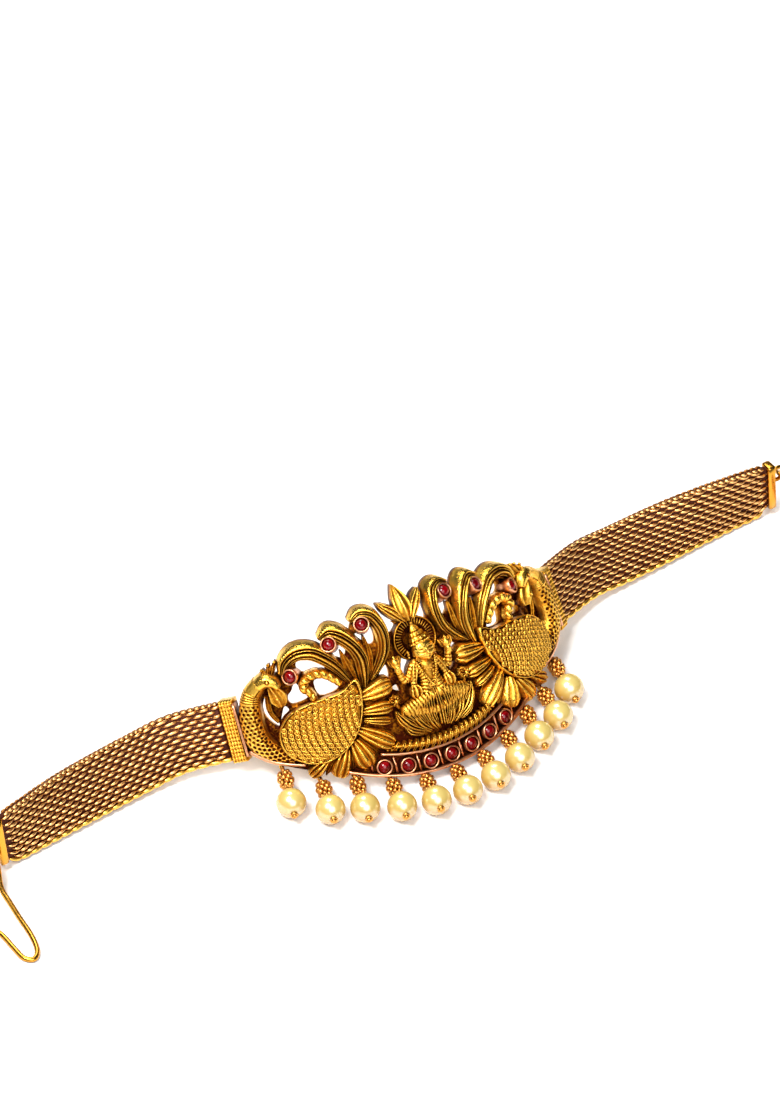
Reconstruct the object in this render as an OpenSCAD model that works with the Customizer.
// Armlet (bajuband): a pierced cast motif between two woven bands, laid open on a
// flat surface. X runs along the armlet, +Y is the side the motif leans back to,
// +Z is up, and z = 0 is the surface that it rests on. Millimetres.

/* [Motif] */
// Radius that the motif is curved to, so that it fits round the upper arm
arch_r = 56; // [50:1:62]
// How far the motif leans back from upright, in degrees
lean = 36.5; // [35:0.5:38]
// Thickness of the cast plate behind the relief
plate_t = 1.3; // [1.1:0.1:1.6]
// Height of the lowest point of the motif's rim above the surface
rim_clear = 0.7; // [0.7:0.1:0.9]

/* [Stones and pearls] */
// Radius of a ruby cabochon
ruby_r = 1.25; // [1.1:0.05:1.3]
// Outer radius of a bezel
bezel_r = 1.75; // [1.6:0.05:1.8]
// Radius of a pearl
pearl_r = 3.2; // [3:0.1:3.3]
// Distance from one pearl drop to the next along the rim
drop_pitch = 7.05; // [7:0.05:7.2]
// Length of a drop from its loop to the middle of its pearl
drop_len = 9.4; // [9.2:0.1:9.6]

/* [Bands and clasp] */
// Width of a woven band
band_w = 13.2; // [12.8:0.1:13.4]
// Thickness of a woven band
band_t = 2; // [1.8:0.1:2.1]
// Wire thickness of the chain links and rings
link_wire = 0.9; // [0.8:0.05:0.95]
// Wire thickness of the hook
hook_wire = 1.2; // [1:0.05:1.3]

/* [Hidden] */
TURN = 360;
ROOT = 0.7;
BALL_SIDES = 5;
BEZEL_SIDES = 9;
deg = 180 / PI;
rim_low = -21.7;
table_drop = rim_clear - rim_low * cos(lean) + plate_t * sin(lean);
// Shifts that bring the middle of the whole armlet's box over the origin
side_shift = -2.85;
back_shift = 1.43;

// Relief profiles, right edge to left edge: [across, height share]
ROUNDED = [[-1, 0.25], [-0.6, 0.88], [0, 1.02], [0.6, 0.88], [1, 0.25]];
RIDGE = [[-1, 0.3], [0, 1], [1, 0.3]];
FLAT = [[-1, 1], [1, 1]];
HALO = [[-1, 1], [-0.6, 1], [-0.6, 0.7], [1, 0.7]];
PETAL = [[-1, 0.25], [-0.5, 0.95], [0, 0.66], [0.5, 0.95], [1, 0.25]];
PLUME = [[-1, 0.15], [-0.45, 1], [-0.2, 0.74], [0.08, 1.04], [0.36, 0.74], [0.64, 0.96], [1, 0.25]];

// Left half of the motif, laid flat: [x, y, half width, height]
PLUME_OUTER = [
    [-15.6, 2.6, 0.6, 1.8], [-17.5, 6.6, 1.3, 2.4], [-19.2, 9.2, 1.75, 2.7], [-21.6, 11.6, 2.1, 2.9],
    [-24.9, 12.4, 2.1, 3], [-27.5, 11.3, 1.8, 2.8], [-28.7, 9.3, 1.1, 2.2]
];
PLUME_MIDDLE = [
    [-13.3, 0.8, 0.7, 1.8], [-12.5, 4.2, 1.5, 2.4], [-12.2, 7.2, 1.7, 2.7], [-13, 10.2, 1.8, 2.9],
    [-14.8, 13, 2.1, 3], [-16.9, 14.4, 1.9, 2.8], [-18.8, 13.8, 1.1, 2.2]
];
PLUME_INNER = [
    [-11.6, 1.8, 0.5, 1.8], [-9, 4.3, 1.1, 2.3], [-7.1, 6.9, 1.4, 2.6], [-6.3, 9.8, 1.5, 2.8],
    [-6.4, 12.4, 1.6, 2.9], [-7.5, 15, 1.7, 2.9], [-9.7, 15.9, 1.4, 2.6], [-11.5, 15.1, 0.9, 2]
];
NECK = [
    [-31, -9.2, 1.5, 2.2], [-35.3, -6.8, 2.1, 2.9], [-37.6, -3.8, 2.6, 3.3], [-37.9, -0.4, 2.6, 3.4],
    [-37.5, 3.1, 2.4, 3.3], [-36.2, 6.3, 2.1, 3.2], [-34, 8.2, 1.8, 3.1], [-32, 8.4, 1.6, 3]
];
NECK_RIM = [[-40.2, -5.4, 0.35, 2], [-37, -8.2, 0.35, 2], [-33.5, -10, 0.35, 2], [-29.8, -11.3, 0.3, 1.8]];
HEAD_STEM = [[-33.1, 5, 0.7, 1.4], [-33.7, 2.4, 0.55, 1.2], [-33.3, 0.4, 0.45, 1.1], [-32.5, -1, 0.35, 1]];
ROPE = [
    [-17.8, 3.2, 0.8, 2.2], [-19.6, 5.4, 0.95, 2.4], [-21.3, 6.6, 1.05, 2.6], [-23.3, 6.8, 1.1, 2.7],
    [-24.8, 6.1, 1.1, 2.7], [-25.3, 4.7, 1.05, 2.6], [-24.4, 3.3, 0.95, 2.4], [-23.9, 1.4, 0.8, 2.2]
];
LEAF_OUTER = [[-14.7, 3, 0.6, 1.4], [-15.3, 6.2, 0.9, 1.6], [-15.8, 9.9, 0.15, 1.2]];
LEAF_MIDDLE = [[-11.2, 3.2, 0.5, 1.3], [-10.5, 7, 0.9, 1.5], [-10.2, 11.2, 0.15, 1.1]];
TOP_LEAF_SIDE = [[-0.9, 11, 0.8, 1.8], [-2.6, 13.4, 1.4, 2.2], [-4.2, 15.2, 1, 1.9], [-5.1, 16.3, 0.15, 1.3]];
TOP_LEAF = [[0, 10.8, 0.9, 2], [0, 13.6, 1.9, 2.6], [0, 16.2, 1.5, 2.3], [0, 18.6, 0.15, 1.4]];
MOULDING = [
    [-11.8, -13.1, 0.4, 1.9], [-9, -14.1, 0.75, 2.4], [-5, -14.9, 0.85, 2.6], [0, -15.3, 0.85, 2.7],
    [5, -14.9, 0.85, 2.6], [9, -14.1, 0.75, 2.4], [11.8, -13.1, 0.4, 1.9]
];
BIRD_OUTLINE = [
    [-14.4, 3.3], [-18.4, 1.7], [-24, 1.5], [-29.2, 0.6], [-32.4, -2], [-33.3, -5.5], [-32.1, -8.7],
    [-29, -11.1], [-25, -11.9], [-20.4, -10.4], [-16.8, -6.8], [-14.7, -2], [-14.4, 3.3]
];
BIRD_MIDDLE = [-24.3, -5];
BIRD_REACH = [9.8, 7];
// Rings of the bird's body, rim to crown: [share of the outline, height]
BIRD_RINGS = [[1, 2.2], [0.95, 2.7], [0.88, 2.4], [0.6, 3.5]];
// Feather rows on the body: [x at the top, y at the top, x at the foot, y at the foot]
FEATHER_ROWS = [
    [-18.4, 0.1, -18.2, -5.8], [-22.2, 0.1, -22, -9.2], [-26, 0.1, -26.2, -9.8], [-29.6, -1, -30.2, -8]
];
// Feathers of the crest: [root x, root y, tip x, tip y]
CREST = [[-32.2, 8.8, -32.6, 10.9], [-31.6, 9.1, -31, 11.6], [-31, 9, -29.5, 11.9]];
// Petals that fan out from the body: [root x, root y, tip x, tip y, half width]
PETALS = [
    [-14.8, -0.9, -7.7, -0.3, 1.75], [-15.4, -4, -8.9, -5, 1.25], [-15.6, -5.8, -10.2, -7.9, 0.85],
    [-17.4, -7.3, -11, -13, 1.65], [-18.9, -9.4, -17.2, -15.8, 1.9], [-20.8, -10.6, -24.1, -16, 1.6],
    [-25, -11.4, -29.6, -14, 1.2]
];
PETAL_H = 2.3;
// Plate outline of the left half, from the top middle round to the foot
PLATE_HALF = [
    [0, 11], [-3.4, 11.7], [-4.6, 11.5], [-6, 14.4], [-8, 15.8], [-11, 15], [-13.2, 12.6], [-15.6, 14.4],
    [-18.4, 13.8], [-19.4, 11.4], [-25, 12.6], [-28, 11.2], [-29.4, 9.4], [-34, 8.8], [-37, 6.4],
    [-39.4, 3.4], [-40.6, 1], [-40.6, -5.6], [-37.2, -9], [-34, -10.7], [-29, -13], [-26, -12.6], [-23.6, -15.3],
    [-15, -18.7], [-7, -20.9], [0, -21.5]
];
// Pierced gaps of the left half
GAPS = [
    [[-25.2, 10.2], [-22.8, 9.9], [-20, 7.6], [-20.6, 7], [-23.8, 7.4], [-25.6, 8.6]],
    [[-23, 5.2], [-20.6, 5], [-18.4, 2.2], [-22.6, 1.8]],
    [[-26.9, 6.4], [-26.2, 4.4], [-25.2, 2.2], [-28.8, 1.8], [-29.4, 3.4], [-28, 4.8]],
    [[-32.2, -0.8], [-30.6, 1.8], [-29.8, 0.8], [-31.4, -0.2]],
    [[-33.8, 5], [-35.2, 2.9], [-35, 0.4], [-33.3, -2], [-32.6, -1.2], [-33.9, 0.6], [-34.2, 2.6]],
    [[-14.8, 11.6], [-18.4, 10], [-17, 8.8], [-15.6, 8], [-14.4, 9.6]],
    [[-11.6, 12], [-10.7, 10.3], [-9.2, 8.8], [-8, 9.4], [-7.8, 12.4], [-9.6, 11.6]],
    [[-4.8, 12.4], [-2.6, 10.9], [-4.5, 9.6]],
    [[-10.1, 1.2], [-7.4, 3.6], [-7.5, 0.7]],
    [[-4.6, 0.8], [-3.7, 3.6], [-2.2, 3.4], [-3.4, -0.4]],
    [[-7.8, -1.6], [-6.4, -1.3], [-6.2, -2.9]]
];
// Rubies at the plume tips, left half: [x, y, height, lean back, lean out]
RUBIES_TOP = [[-27.2, 7.9, 1.5, 10, -16], [-17.7, 11.9, 1.5, 18, -12], [-9.9, 13.5, 1.5, 20, -7]];
ROW_PITCH = 4.85;
ROW_H = 1.15;
BEZEL_WALL_H = 0.85;
// Cut of a cabochon: girdle height and dome height
RUBY_GIRDLE = 0.35;
RUBY_DOME = 0.75;
SEAT_GAP = 0.06;
EYELET_R = 0.7;
EYELET_WIRE = 0.45;

// Bands from the motif outwards: [x, y, height of the lower edge, lean]
BAND_LEFT = [
    [-50, 12.8, 1.2, 37], [-58, 12.9, 0.3, 38], [-68, 12.1, 0, 36],
    [-78, 11.1, 0, 30], [-88, 10.2, 0, 19], [-95.8, 9.5, 0, 12]
];
BAND_RIGHT = [
    [51, 14.1, 1.2, 37], [60, 15.3, 0.3, 38], [70, 16.4, 0, 34],
    [80, 17.7, 0, 22], [90, 18.8, 0, 11], [98.6, 19.4, 0, 5]
];
BAND_Y = -0.35;
BAND_PROFILE = [[-1, 0.03], [-1, 0.97], [-0.5, 1], [0.5, 1], [1, 0.97], [1, 0.03], [0.5, 0], [-0.5, 0]];
FITTING = [3.3, 13.7, 3.4];
FITTING_X = 42.5;
FITTING_SPIN = 3;
SLOT_DEPTH = 1.6;
SLOT_CLEAR = 0.3;
// End of a band: how far its lower and upper edges draw in
END_INSET = [1.6, 0.4];
CAP = [1.9, 11.5, 3.1];
CAP_GRIP = 0.9;
CAP_LOOP_R = 1.6;
CAP_LOOP_WIRE = 0.9;
LOOP_Y_LEFT = 0;
LOOP_Y_RIGHT = 2.2;
// How far below outwards each ring hangs, in degrees
HOOK_RING_ANGLE = 60;
CHAIN_RING_ANGLES = [45, 75];
HOOK_RING_R = 2.2;
CHAIN_RING_R = 2;
EYE_R = 2.15;
EYE_SLOPE = 0.09;

// Route of the hook's wire on from its eye, down the shank and round the bend
HOOK_ROUTE = [
    [-100.3, 2.4, 2], [-100.5, -1.5, 1.4], [-100.6, -6, 0.7], [-100.7, -11, 0.2],
    [-101.6, -15.2, 0], [-103.4, -17.1, 0], [-105.1, -15.8, 0], [-105.5, -12.5, 0],
    [-105.8, -8, 0], [-106.7, -5.2, 0], [-108.2, -4.4, 0]
];

// Extension chain: outer length and width of an oval link
LINK_L = 7.4;
LINK_W = 4.6;
LINK_SIDES = 6;
// Turn of each link about its length
LINK_ROLLS = [80, -25, 50, -45, 45, -45];
LINK_REST_H = 2;
LINK_PITCH = LINK_L - 2 * link_wire - 0.2;

// A point of the motif laid flat, put on the arch at a height over the plate
function curl(y) = 0.028 * pow(max(0, y - 8), 2);
function arch(x, y, h) =
    let (a = x / arch_r * deg, r = arch_r + h - curl(y))
    [r * sin(a), y, r * cos(a) - arch_r];
// From the motif's own axes to the resting armlet
function settle(p) = [
    p[0] + side_shift,
    p[1] * sin(lean) - p[2] * cos(lean) + back_shift,
    p[1] * cos(lean) + p[2] * sin(lean) + table_drop
];
function unit(v) = v / norm(v);
function rim_y(x) = -21.4 + x * x / 80;
function inner_rim_y(x) = -16.75 + x * x / 75;
function row_y(x) = -19.2 + x * x / 88;
function breast(x, y) =
    2.75 + 1.3 * (1 - pow((x - BIRD_MIDDLE[0]) / BIRD_REACH[0], 2) - pow((y - BIRD_MIDDLE[1]) / BIRD_REACH[1], 2));

// Smooth curve through the rows of a table
function blend(a, b, c, d, t) =
    0.5 * (2 * b + (c - a) * t + (2 * a - 5 * b + 4 * c - d) * t * t + (3 * b - a - 3 * c + d) * t * t * t);
function curve(rows, steps) = [
    for (i = [0 : len(rows) - 2], k = [0 : steps - 1])
        blend(rows[max(i - 1, 0)], rows[i], rows[i + 1], rows[min(i + 2, len(rows) - 1)], k / steps),
    rows[len(rows) - 1]
];
function heading(p, i) = unit(p[min(i + 1, len(p) - 1)] - p[max(i - 1, 0)]);
function flat_heading(p, i) =
    let (a = p[max(i - 1, 0)], b = p[min(i + 1, len(p) - 1)])
    unit([b[0] - a[0], b[1] - a[1]]);

// Triangles of a skin over n sections of m points, right edge first
function skin(n, m, closed = false) = [
    if (!closed) [for (k = [m - 1 : -1 : 0]) k],
    if (!closed) [for (k = [0 : m - 1]) (n - 1) * m + k],
    for (i = [0 : closed ? n - 1 : n - 2], k = [0 : m - 1])
        let (
            a = i * m + k,
            b = i * m + (k + 1) % m,
            c = (i + 1) % n * m + (k + 1) % m,
            d = (i + 1) % n * m + k
        )
        each [[a, b, c], [a, c, d]]
];

// A raised strip along a curve on the motif
module relief(path, profile = ROUNDED, base = -ROOT) {
    last = len(profile) - 1;
    points = [
        for (i = [0 : len(path) - 1])
            let (r = path[i], t = flat_heading(path, i))
            each [
                arch(r[0] + t[1] * r[2], r[1] - t[0] * r[2], base),
                for (q = profile)
                    arch(r[0] - t[1] * q[0] * r[2], r[1] + t[0] * q[0] * r[2], q[1] * r[3]),
                arch(r[0] - t[1] * r[2], r[1] + t[0] * r[2], base)
            ]
    ];
    polyhedron(points, skin(len(path), last + 3), convexity = 8);
}

// A wire along a route, or round a closed one
module wire(route, thick, sides, up, closed = false) {
    n = len(route);
    points = [
        for (i = [0 : n - 1])
            let (
                t = closed ? unit(route[(i + 1) % n] - route[(i + n - 1) % n]) : heading(route, i),
                side = unit(cross(t, up)),
                top = cross(side, t)
            )
            for (k = [0 : sides - 1])
                let (a = TURN * k / sides)
                route[i] + thick / 2 * (cos(a) * side + sin(a) * top)
    ];
    polyhedron(points, skin(n, sides, closed), convexity = 6);
}

module both_sides() {
    children();
    mirror([1, 0, 0]) children();
}

// Stands a child on the motif's face
module on_motif(x, y, h, back = 0, out = 0, spin = 0) {
    translate(arch(x, y, h))
        rotate([0, x / arch_r * deg, 0])
            rotate([-back, out, spin])
                children();
}

module in_place() {
    translate([side_shift, back_shift, table_drop])
        rotate([90 - lean, 0, 0])
            children();
}

// A ball of the figure, and a limb between two balls: [x, y, height, radius]
module ball(b) {
    translate(arch(b[0], b[1], b[2])) sphere(r = b[3], $fn = BALL_SIDES);
}

module limb(a, b) {
    hull() {
        ball(a);
        ball(b);
    }
}

module plate() {
    left = [for (p = PLATE_HALF) [arch_r * sin(p[0] / arch_r * deg), p[1]]];
    outline = concat(left, [for (i = [len(left) - 2 : -1 : 1]) [-left[i][0], left[i][1]]]);
    difference() {
        intersection() {
            plate_shell();
            translate([0, 0, -arch_r]) linear_extrude(height = 2 * arch_r) polygon(outline);
        }
        both_sides() for (gap = GAPS) pierced(gap);
    }
}

// The curved sheet that the plate is cut from, curled back along its top edge
module plate_shell() {
    xs = [for (k = [-6 : 6]) k * 7];
    ys = [-24, 8, 13, 17];
    m = 2 * len(ys);
    points = [
        for (x = xs) each [
            for (y = ys) arch(x, y, 0.05),
            for (k = [len(ys) - 1 : -1 : 0]) arch(x, ys[k], -plate_t)
        ]
    ];
    polyhedron(points, skin(len(xs), m), convexity = 4);
}

module pierced(gap) {
    translate([0, 0, -arch_r])
        linear_extrude(height = 2 * arch_r)
            polygon([for (p = gap) [arch_r * sin(p[0] / arch_r * deg), p[1]]]);
}

module bird_body() {
    outline = curve(BIRD_OUTLINE, 2);
    m = len(outline) - 1;
    rings = concat([[1, -ROOT]], BIRD_RINGS);
    points = concat(
        [
            for (r = rings, i = [0 : m - 1])
                let (p = BIRD_MIDDLE + (outline[i] - BIRD_MIDDLE) * r[0])
                arch(p[0], p[1], r[1])
        ],
        [arch(BIRD_MIDDLE[0], BIRD_MIDDLE[1], 4.3)]
    );
    n = len(rings);
    top = n * m;
    faces = concat(
        [[for (k = [m - 1 : -1 : 0]) m - 1 - k]],
        [
            for (i = [0 : n - 2], k = [0 : m - 1])
                let (a = i * m + k, b = i * m + (k + 1) % m, c = a + m, d = b + m)
                each [[a, c, d], [a, d, b]]
        ],
        [for (k = [0 : m - 1]) [(n - 1) * m + k, top, (n - 1) * m + (k + 1) % m]]
    );
    polyhedron(points, faces, convexity = 4);
    for (f = FEATHER_ROWS) feather_row(f);
}

module feather_row(f) {
    steps = 2;
    rows = [
        for (k = [0 : steps])
            let (
                t = k / steps,
                x = f[0] + (f[2] - f[0]) * t - 0.5 * sin(180 * t),
                y = f[1] + (f[3] - f[1]) * t
            )
            [x, y, 0.75, breast(x, y) + 0.3]
    ];
    relief(rows, RIDGE, 1);
}

module petal(p) {
    way = [p[2] - p[0], p[3] - p[1]];
    rows = [for (s = [[0, 0.45, 0.8], [0.4, 0.9, 1], [0.8, 0.95, 0.95], [1, 0.35, 0.5]])
        [p[0] + way[0] * s[0], p[1] + way[1] * s[0], p[4] * s[1], PETAL_H * s[2]]];
    relief(rows, PETAL);
}

module bird_head() {
    limb([-32.2, 8.1, 1.6, 1.9], [-31.2, 7, 1.7, 1.6]);
    limb([-31.2, 7, 1.7, 1.5], [-30.6, 3.6, 1.6, 1.3]);
    relief(HEAD_STEM, RIDGE);
    for (c = CREST)
        relief([[c[0], c[1], 0.45, 2], [c[2], c[3], 0.15, 1.4]], RIDGE);
}

module bezel(floor_h) {
    difference() {
        translate([0, 0, -floor_h]) cylinder(r = bezel_r, h = floor_h + BEZEL_WALL_H, $fn = BEZEL_SIDES);
        ruby_space();
    }
}

module ruby_space() {
    cylinder(r = ruby_r + 0.14, h = 5, $fn = BEZEL_SIDES);
}

module halo() {
    arc_rows = function(r, wide, high) [
        for (a = [-50 : 35 : 230]) [r * cos(a), 6.8 + r * sin(a), wide, high]
    ];
    relief(arc_rows(3.7, 1.1, 1.7), HALO);
    for (a = [0 : 45 : 180])
        relief([for (r = [2.8, 4.2]) [r * cos(a), 6.8 + r * sin(a), 0.25, 1.6]], RIDGE);
}

module figure_half() {
    limb([1.9, 1.9, 2, 0.95], [0.9, -1.6, 2.4, 1.1]);
    limb([0.9, -1.6, 2.4, 1.1], [1.7, -4.6, 2.4, 1.3]);
    limb([2.2, 1.9, 1.8, 0.8], [4.9, -0.9, 1.7, 0.65]);
    limb([4.9, -0.9, 1.7, 0.65], [5.9, 2.4, 2.2, 0.5]);
    limb([5.9, 3, 2.3, 0.8], [6, 4.4, 2.3, 0.45]);
    limb([2.3, 1.6, 2.2, 0.75], [3.6, -1.6, 2.6, 0.6]);
    limb([3.6, -1.6, 2.6, 0.6], [3.7, -3.2, 3.2, 0.5]);
    limb([3.7, -3.3, 3.2, 0.85], [3.8, -4.6, 3.2, 0.6]);
    limb([1.2, -5.6, 2.4, 1.5], [6.6, -7, 2, 1.35]);
    limb([6.6, -7.2, 2, 1.2], [0.6, -8.6, 2.6, 1.15]);
    limb([7.9, -4.5, 1, 1.2], [6, -6.6, 1, 0.8]);
    limb([8.9, -3.6, 0.9, 0.6], [7.9, -4.5, 1, 0.9]);
}

module figure() {
    both_sides() figure_half();
    limb([0, 5.4, 2.6, 1.5], [0, 4.1, 2.5, 1.15]);
    limb([0, 6.9, 2.3, 1.45], [0, 9.5, 1.4, 0.6]);
    limb([0, 3.6, 2.2, 0.9], [0, 1.4, 2.2, 1.3]);
    for (i = [-3 : 3])
        relief(
            [
                [2.1 * i, -7.6, 0.9, 2.4], [2.6 * i, -10.4, 1.5, 2.7],
                [2.8 * i, -13.2 + 0.15 * i * i, 0.3, 1.7]
            ],
            RIDGE
        );
    relief(MOULDING);
}

module ruby_row_setting() {
    relief([for (x = [-22 : 22 / 3 : 22.1]) [x, rim_y(x), 0.34, 1.9]], FLAT);
    relief([for (x = [-14.5 : 29 / 6 : 14.6]) [x, inner_rim_y(x), 0.28, 2]], FLAT);
    for (i = [-3 : 3]) on_motif(ROW_PITCH * i, row_y(ROW_PITCH * i), ROW_H) bezel(2);
    for (i = [-3.5 : 3.5])
        relief(
            [for (y = [inner_rim_y(ROW_PITCH * i) - 0.2, rim_y(ROW_PITCH * i) + 0.2])
                [ROW_PITCH * i, y, 0.2, 1.2]],
            FLAT
        );
}

module fitting() {
    on_motif(-FITTING_X, BAND_Y, 0, spin = -FITTING_SPIN) difference() {
        cube(FITTING, center = true);
        translate([-FITTING[0] / 2 + SLOT_DEPTH / 2 - 0.5, 0, 0])
            cube([SLOT_DEPTH + 1, FITTING[1] + 1, band_t + SLOT_CLEAR], center = true);
    }
    relief([[-40.5, 5.6, 0.3, 2.2], [-40.7, -6.2, 0.3, 2.2]], FLAT);
}

// Middle of each drop's loop, on the rim
function drop_x(i) = i * drop_pitch;
function drop_rim(i) =
    let (x = abs(drop_x(i)))
    x < 22 ? rim_y(x) - 0.3 : x < 30 ? -14.9 : -10.3;
function eyelet_middle(i) = arch(drop_x(i), drop_rim(i) - 0.45, -0.2);
function drop_loop(i) =
    let (m = settle(eyelet_middle(i)), rise = asin((pearl_r - m[2]) / (drop_len + EYELET_R)))
    m + EYELET_R * [0, -cos(rise), sin(rise)];
function drop_swing(i) = -13 + 1.3 * i;
function drop_pearl(i) =
    let (
        a = drop_loop(i),
        rise = (pearl_r - a[2]),
        reach = sqrt(drop_len * drop_len - rise * rise)
    )
    [a[0] + reach * sin(drop_swing(i)), a[1] - reach * cos(drop_swing(i)), pearl_r];

module eyelet(i) {
    wire([for (a = [0 : 72 : 288]) eyelet_middle(i) + EYELET_R * [0, cos(a), sin(a)]], EYELET_WIRE, 4, [1, 0, 0], true);
}

module casting() {
    plate();
    both_sides() {
        bird_body();
        relief(NECK);
        relief(NECK_RIM, FLAT);
        bird_head();
        relief(ROPE);
        relief(PLUME_OUTER, PLUME);
        relief(PLUME_MIDDLE, PLUME);
        relief(PLUME_INNER, PLUME);
        relief(LEAF_OUTER, RIDGE);
        relief(LEAF_MIDDLE, RIDGE);
        relief(TOP_LEAF_SIDE, PETAL);
        for (p = PETALS) petal(p);
        for (r = RUBIES_TOP) on_motif(r[0], r[1], r[2], r[3], r[4]) bezel(2.4);
        fitting();
    }
    relief(TOP_LEAF, RIDGE);
    halo();
    figure();
    ruby_row_setting();
    for (i = [-5 : 5]) eyelet(i);
}

module motif() {
    color("darkgoldenrod") in_place() difference() {
        casting();
        both_sides() for (r = RUBIES_TOP) on_motif(r[0], r[1], r[2], r[3], r[4]) ruby_space();
    }
}

module cabochon() {
    dome_r = (ruby_r * ruby_r + RUBY_DOME * RUBY_DOME) / (2 * RUBY_DOME);
    color("darkred") translate([0, 0, SEAT_GAP]) intersection() {
        cylinder(r = ruby_r, h = RUBY_GIRDLE + RUBY_DOME + 1, $fn = 32);
        translate([0, 0, RUBY_GIRDLE + RUBY_DOME - dome_r]) sphere(r = dome_r, $fn = 32);
        translate([0, 0, 2]) cube([4, 4, 4], center = true);
    }
}

module ruby_top(k, side) {
    r = RUBIES_TOP[k];
    in_place() mirror([side > 0 ? 1 : 0, 0, 0]) on_motif(r[0], r[1], r[2], r[3], r[4]) cabochon();
}

module ruby_row(k) {
    x = ROW_PITCH * (k - 4);
    in_place() on_motif(x, row_y(x), ROW_H) cabochon();
}

// Turns a child's Z axis along a direction
module along(v) {
    rotate([0, acos(v[2] / norm(v)), atan2(v[1], v[0])]) children();
}

module pearl(i) {
    color("ivory") translate(drop_pearl(i)) along(drop_pearl(i) - drop_loop(i)) difference() {
        sphere(r = pearl_r, $fn = 48);
        cylinder(r = 0.4, h = 3 * pearl_r, center = true, $fn = 24);
    }
}

module drop(i) {
    color("goldenrod") translate(drop_loop(i)) along(drop_pearl(i) - drop_loop(i)) {
        rotate([0, 90, 0]) rotate_extrude($fn = 24) translate([EYELET_R, 0]) circle(d = EYELET_WIRE, $fn = 16);
        translate([0, 0, 0.8]) cylinder(r = 0.3, h = drop_len + pearl_r - 0.6, $fn = 24);
        for (k = [0 : 2]) translate([0, 0, 2.1 + 1.1 * k]) sphere(r = 1.3, $fn = 32);
        translate([0, 0, 5.3]) cylinder(r = 0.7, h = drop_len - pearl_r - 5.35, $fn = 24);
        translate([0, 0, drop_len + pearl_r + 0.75]) sphere(r = 0.8, $fn = 32);
    }
}

// A point in the axes of a side fitting: outwards and up
function fitting_point(side, v) =
    let (
        a = FITTING_X / arch_r * deg,
        out = v[0] * cos(FITTING_SPIN) - v[1] * sin(FITTING_SPIN),
        up = v[0] * sin(FITTING_SPIN) + v[1] * cos(FITTING_SPIN),
        p = arch(FITTING_X, BAND_Y, 0) + [out * cos(a), up, -out * sin(a)]
    )
    settle([side * p[0], p[1], p[2]]);

// Sections of a band: the middle of its lower edge and its lean
function band_start(side) = [
    for (u = [0.2 : 0.9 : 2.9])
        let (p = fitting_point(side, [u, -band_w / 2]))
        [p[0], p[1], p[2], lean]
];
function band_rows(side) = concat(
    band_start(side),
    [for (r = side < 0 ? BAND_LEFT : BAND_RIGHT)
        [r[0] + side_shift, r[1] + back_shift, r[2] + band_t / 2 * sin(r[3]) + 0.02, r[3]]]
);
function band_path(side) = curve(band_rows(side), 2);
function row_point(r) = [r[0], r[1], r[2]];
function band_way(path, i) = unit(row_point(path[min(i + 1, len(path) - 1)]) - row_point(path[max(i - 1, 0)]));
function band_up(path, i) =
    let (t = band_way(path, i), up = [0, sin(path[i][3]), cos(path[i][3])])
    unit(up - (up * t) * t);

function band_height(path, i, share) =
    i < len(path) - 1 ? share * band_w : END_INSET[0] + share * (band_w - END_INSET[0] - END_INSET[1]);

module band(side) {
    path = band_path(side);
    points = [
        for (i = [0 : len(path) - 1])
            let (up = band_up(path, i), thick = cross(band_way(path, i), up))
            for (q = BAND_PROFILE)
                row_point(path[i]) + up * band_height(path, i, q[1]) - thick * q[0] * band_t / 2
    ];
    color("peru") polyhedron(points, skin(len(path), len(BAND_PROFILE)), convexity = 4);
}

// Puts a child at a band's end: X outwards, Y up the band, Z through it
module at_band_end(side) {
    path = band_path(side);
    i = len(path) - 1;
    t = band_way(path, i);
    up = band_up(path, i);
    thick = cross(t, up);
    p = row_point(path[i]) + up * band_height(path, i, 0.5);
    multmatrix([
        [t[0], up[0], thick[0], p[0]],
        [t[1], up[1], thick[1], p[1]],
        [t[2], up[2], thick[2], p[2]]
    ])
        children();
}

module end_cap(side, loop_y) {
    color("gold") at_band_end(side) {
        difference() {
            translate([CAP[0] / 2 - CAP_GRIP, 0, 0]) cube(CAP, center = true);
            translate([-2, 0, 0]) cube([4.2, CAP[1] + 1, band_t + SLOT_CLEAR], center = true);
        }
        translate(loop_middle(loop_y))
            rotate_extrude($fn = 32) translate([CAP_LOOP_R, 0]) circle(d = CAP_LOOP_WIRE, $fn = 16);
    }
}

// A point in the axes of a band's end
function band_end_point(side, v) =
    let (
        path = band_path(side),
        i = len(path) - 1,
        t = band_way(path, i),
        up = band_up(path, i)
    )
    row_point(path[i]) + up * band_height(path, i, 0.5) + t * v[0] + up * v[1] + cross(t, up) * v[2];
function loop_middle(loop_y) = [CAP[0] - CAP_GRIP + CAP_LOOP_R - 0.3, loop_y, 0];
// From the far side of a loop to the middle of the ring that hangs from it
function ring_step(r) = r - link_wire - 0.08;
function below(angle) = [cos(angle), -sin(angle), 0];

module round_ring(r) {
    rotate_extrude($fn = 32) translate([r, 0]) circle(d = link_wire, $fn = 16);
}

function hook_ring_middle() =
    loop_middle(LOOP_Y_LEFT) + (CAP_LOOP_R + ring_step(HOOK_RING_R)) * below(HOOK_RING_ANGLE);
function hook_ring_foot() = hook_ring_middle() + HOOK_RING_R * below(HOOK_RING_ANGLE);

module hook_ring() {
    color("gold") at_band_end(-1)
        translate(hook_ring_middle()) rotate([0, 0, -HOOK_RING_ANGLE]) rotate([90, 0, 0]) round_ring(HOOK_RING_R);
}

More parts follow.
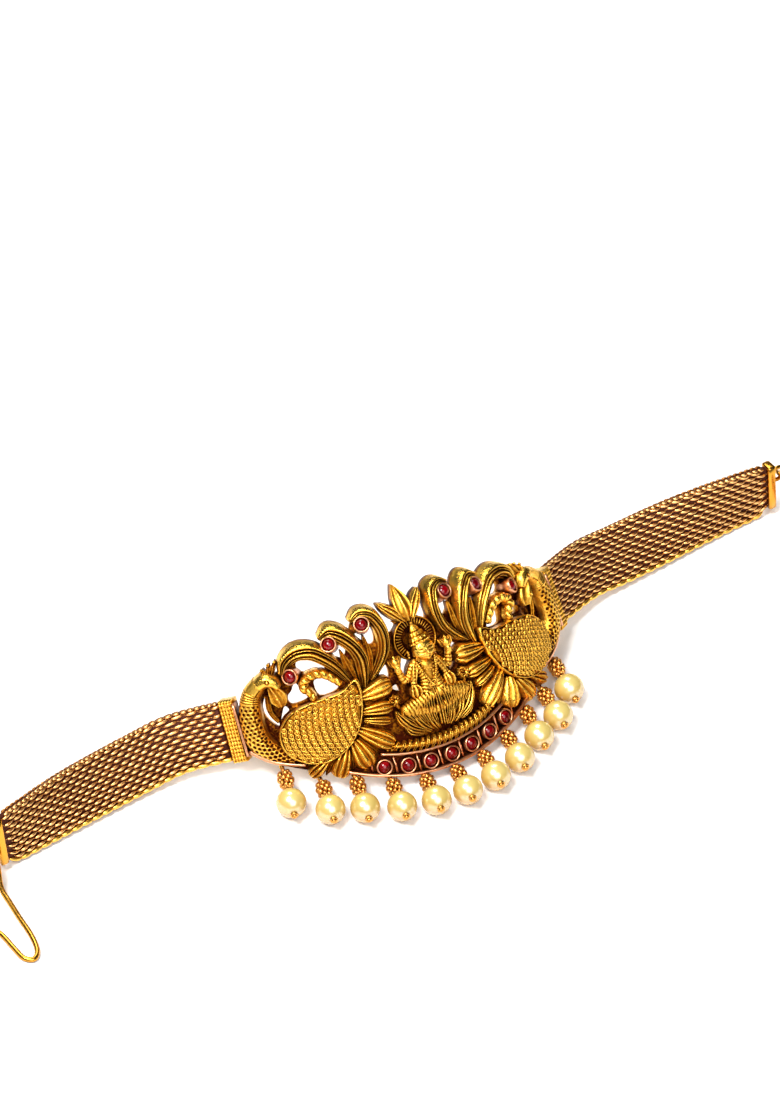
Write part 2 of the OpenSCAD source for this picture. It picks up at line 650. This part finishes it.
// The eye rests in the ring and the rest of the hook slopes down to the surface
function eye_middle() =
    let (foot = band_end_point(-1, hook_ring_foot()))
    [foot[0], foot[1] - EYE_R, foot[2] + (link_wire + hook_wire) / 2 + 0.1];
function eye_route() =
    let (c = eye_middle())
    [for (a = [275 : -29.5 : -21]) c + EYE_R * [cos(a), sin(a), EYE_SLOPE * sin(a)]];

module hook() {
    rest = [for (r = HOOK_ROUTE) r + [side_shift, back_shift, hook_wire / 2 + 0.02]];
    color("gold") wire(curve(concat(eye_route(), rest), 2), hook_wire, 8, [0, 0, 1]);
}

function first_ring() =
    loop_middle(LOOP_Y_RIGHT) + (CAP_LOOP_R + ring_step(CHAIN_RING_R)) * below(CHAIN_RING_ANGLES[0]);
function second_ring() =
    first_ring() + CHAIN_RING_R * below(CHAIN_RING_ANGLES[0]) + ring_step(CHAIN_RING_R) * below(CHAIN_RING_ANGLES[1]);

module chain_rings() {
    color("gold") at_band_end(1) {
        translate(first_ring()) rotate([0, 0, -CHAIN_RING_ANGLES[0]]) rotate([90, 0, 0]) round_ring(CHAIN_RING_R);
        translate(second_ring()) round_ring(CHAIN_RING_R);
    }
}

// The first link slopes from the lower ring to the surface and the others lie there
function link_heading(k) = -92 + 7 * k;
function chain_start() = band_end_point(1, second_ring() - [0, CHAIN_RING_R, 0]);
function link_slope(k) = k > 0 ? 0 : asin((chain_start()[2] - LINK_REST_H) / LINK_PITCH);
function link_way(k) =
    [cos(link_heading(k)) * cos(link_slope(k)), sin(link_heading(k)) * cos(link_slope(k)), -sin(link_slope(k))];
function link_middle(k) =
    k == 0
        ? chain_start() + (LINK_PITCH - LINK_L / 2 + link_wire / 2) * link_way(0)
        : link_middle(k - 1) + LINK_PITCH / 2 * (link_way(k - 1) + link_way(k));

module oval_link() {
    r = (LINK_W - link_wire) / 2;
    half = (LINK_L - LINK_W) / 2;
    bend = [for (k = [0 : 6]) -90 + 30 * k];
    route = concat(
        [for (a = bend) [half + r * cos(a), r * sin(a), 0]],
        [for (a = bend) [-half - r * cos(a), -r * sin(a), 0]]
    );
    wire(route, link_wire, LINK_SIDES, [0, 0, 1], true);
}

module extension_chain() {
    color("gold") for (k = [0 : len(LINK_ROLLS) - 1])
        translate(link_middle(k))
            rotate([0, link_slope(k), link_heading(k)]) rotate([LINK_ROLLS[k], 0, 0]) oval_link();
}

motif();
band(-1);  // band_left
band(1);  // band_right
end_cap(-1, LOOP_Y_LEFT);  // end_cap_left
end_cap(1, LOOP_Y_RIGHT);  // end_cap_right
hook_ring();
hook();
chain_rings();
extension_chain();
ruby_top(0, -1);  // ruby_top_left_1
ruby_top(1, -1);  // ruby_top_left_2
ruby_top(2, -1);  // ruby_top_left_3
ruby_top(0, 1);  // ruby_top_right_1
ruby_top(1, 1);  // ruby_top_right_2
ruby_top(2, 1);  // ruby_top_right_3
ruby_row(1);  // ruby_row_1
ruby_row(2);  // ruby_row_2
ruby_row(3);  // ruby_row_3
ruby_row(4);  // ruby_row_4
ruby_row(5);  // ruby_row_5
ruby_row(6);  // ruby_row_6
ruby_row(7);  // ruby_row_7
pearl(-5);  // pearl_1
pearl(-4);  // pearl_2
pearl(-3);  // pearl_3
pearl(-2);  // pearl_4
pearl(-1);  // pearl_5
pearl(0);  // pearl_6
pearl(1);  // pearl_7
pearl(2);  // pearl_8
pearl(3);  // pearl_9
pearl(4);  // pearl_10
pearl(5);  // pearl_11
drop(-5);  // drop_1
drop(-4);  // drop_2
drop(-3);  // drop_3
drop(-2);  // drop_4
drop(-1);  // drop_5
drop(0);  // drop_6
drop(1);  // drop_7
drop(2);  // drop_8
drop(3);  // drop_9
drop(4);  // drop_10
drop(5);  // drop_11
